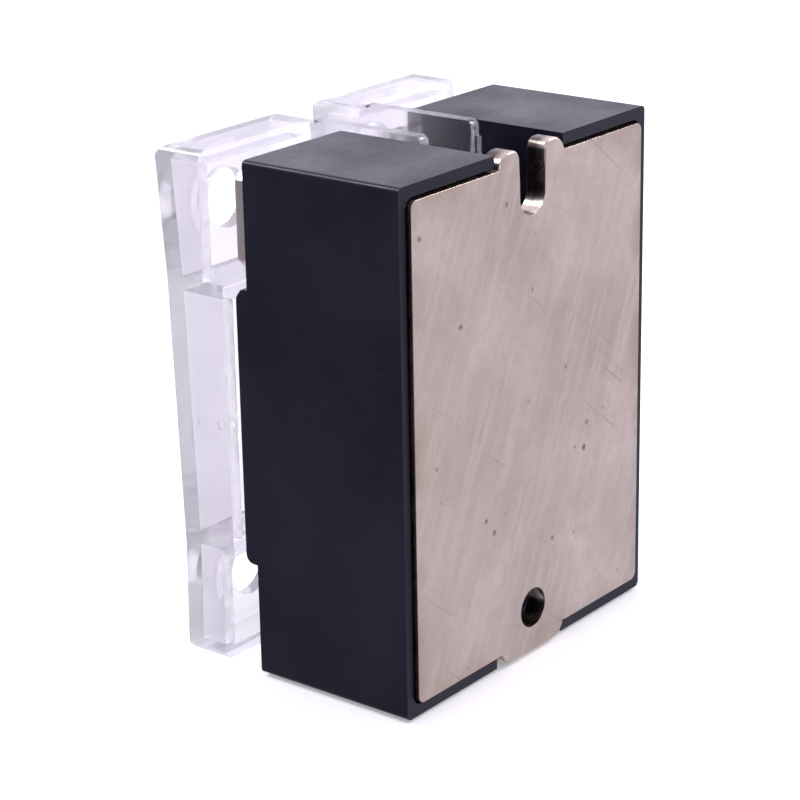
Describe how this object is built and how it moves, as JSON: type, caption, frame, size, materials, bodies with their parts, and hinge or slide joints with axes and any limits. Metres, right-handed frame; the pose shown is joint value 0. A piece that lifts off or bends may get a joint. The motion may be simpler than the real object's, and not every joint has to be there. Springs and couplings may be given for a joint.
{
  "type": "solid state relay",
  "caption": "Block-shaped solid state relay with a flat metal base for a heat sink, screw clamp terminals at both ends and a clear clip-on terminal cover.",
  "frame": {"origin": "middle of the mounting face, halfway between the two mounting holes", "axes": "+Y out of the mounting face towards the heat sink, -Y to the front, +Z along the relay from the control end to the load end, +X to the right seen from the front"},
  "size_m": [0.0446, 0.0334, 0.059],
  "materials": {
    "nickel_base": "nickel plated, brushed, lightly scratched",
    "housing_black": "fine moulded satin",
    "clear_cover": "clear polished polycarbonate",
    "sealant": "cured, satin",
    "label_white": "printed film, blank",
    "ceramic": "matt alumina",
    "copper": "satin copper",
    "silicon": "metallised silicon",
    "gel": "translucent silicone gel",
    "board_green": "solder mask",
    "chip_black": "moulded epoxy",
    "resistor_blue": "lacquer",
    "capacitor_red": "dipped epoxy",
    "varistor_blue": "dipped epoxy",
    "tinned_wire": "bright tin",
    "lamp_red": "diffused",
    "terminal_nickel": "nickel plated, satin",
    "screw_zinc": "nickel plated, bright"
  },
  "bodies": {
    "relay_body": {"base_plate": "nickel_base", "housing": "housing_black", "label_plate": "label_white", "base_seal": "sealant", "ceramic_substrate": "ceramic", "copper_pads": "copper", "thyristor_chips": "silicon", "gel_fill": "gel", "control_board": "board_green", "optocoupler": "chip_black", "resistors": "resistor_blue", "snubber_capacitor": "capacitor_red", "varistor": "varistor_blue", "drive_transistor": "chip_black", "gate_leads": "tinned_wire", "status_led": "lamp_red", "load_nut_left": "screw_zinc", "load_nut_right": "screw_zinc", "control_nut_left": "screw_zinc", "control_nut_right": "screw_zinc", "load_terminal_left": "terminal_nickel", "load_terminal_right": "terminal_nickel", "control_terminal_left": "terminal_nickel", "control_terminal_right": "terminal_nickel"},
    "cover": {"terminal_cover": "clear_cover"},
    "load_clamp_left": {"load_clamp_left": "terminal_nickel"},
    "load_screw_left": {"load_screw_left": "screw_zinc", "load_washer_left": "screw_zinc"},
    "load_clamp_right": {"load_clamp_right": "terminal_nickel"},
    "load_screw_right": {"load_screw_right": "screw_zinc", "load_washer_right": "screw_zinc"},
    "control_clamp_left": {"control_clamp_left": "terminal_nickel"},
    "control_screw_left": {"control_screw_left": "screw_zinc", "control_washer_left": "screw_zinc"},
    "control_clamp_right": {"control_clamp_right": "terminal_nickel"},
    "control_screw_right": {"control_screw_right": "screw_zinc", "control_washer_right": "screw_zinc"}
  },
  "joints": [
    {"name": "cover_pull", "type": "slide", "parent": "relay_body", "child": "cover", "axis": [0, -1, 0], "range_m": [0, 0.015]},
    {"name": "load_left_lift", "type": "slide", "parent": "relay_body", "child": "load_clamp_left", "axis": [0, -1, 0], "range_m": [0, 0.0035]},
    {"name": "load_left_turn", "type": "hinge", "parent": "load_clamp_left", "child": "load_screw_left", "pos_m": [-0.0132, -0.024, 0.0217], "axis": [0, -1, 0], "range_deg": [0, 1800]},
    {"name": "load_right_lift", "type": "slide", "parent": "relay_body", "child": "load_clamp_right", "axis": [0, -1, 0], "range_m": [0, 0.0035]},
    {"name": "load_right_turn", "type": "hinge", "parent": "load_clamp_right", "child": "load_screw_right", "pos_m": [0.0132, -0.024, 0.0217], "axis": [0, -1, 0], "range_deg": [0, 1800]},
    {"name": "control_left_lift", "type": "slide", "parent": "relay_body", "child": "control_clamp_left", "axis": [0, -1, 0], "range_m": [0, 0.0035]},
    {"name": "control_left_turn", "type": "hinge", "parent": "control_clamp_left", "child": "control_screw_left", "pos_m": [-0.0132, -0.024, -0.0217], "axis": [0, -1, 0], "range_deg": [0, 2520]},
    {"name": "control_right_lift", "type": "slide", "parent": "relay_body", "child": "control_clamp_right", "axis": [0, -1, 0], "range_m": [0, 0.0035]},
    {"name": "control_right_turn", "type": "hinge", "parent": "control_clamp_right", "child": "control_screw_right", "pos_m": [0.0132, -0.024, -0.0217], "axis": [0, -1, 0], "range_deg": [0, 2520]}
  ],
  "couplings": [
    {"joint": "load_left_turn", "follows": "load_left_lift", "rad_per_m": 8976},
    {"joint": "load_right_turn", "follows": "load_right_lift", "rad_per_m": 8976},
    {"joint": "control_left_turn", "follows": "control_left_lift", "rad_per_m": 12566},
    {"joint": "control_right_turn", "follows": "control_right_lift", "rad_per_m": 12566}
  ]
}
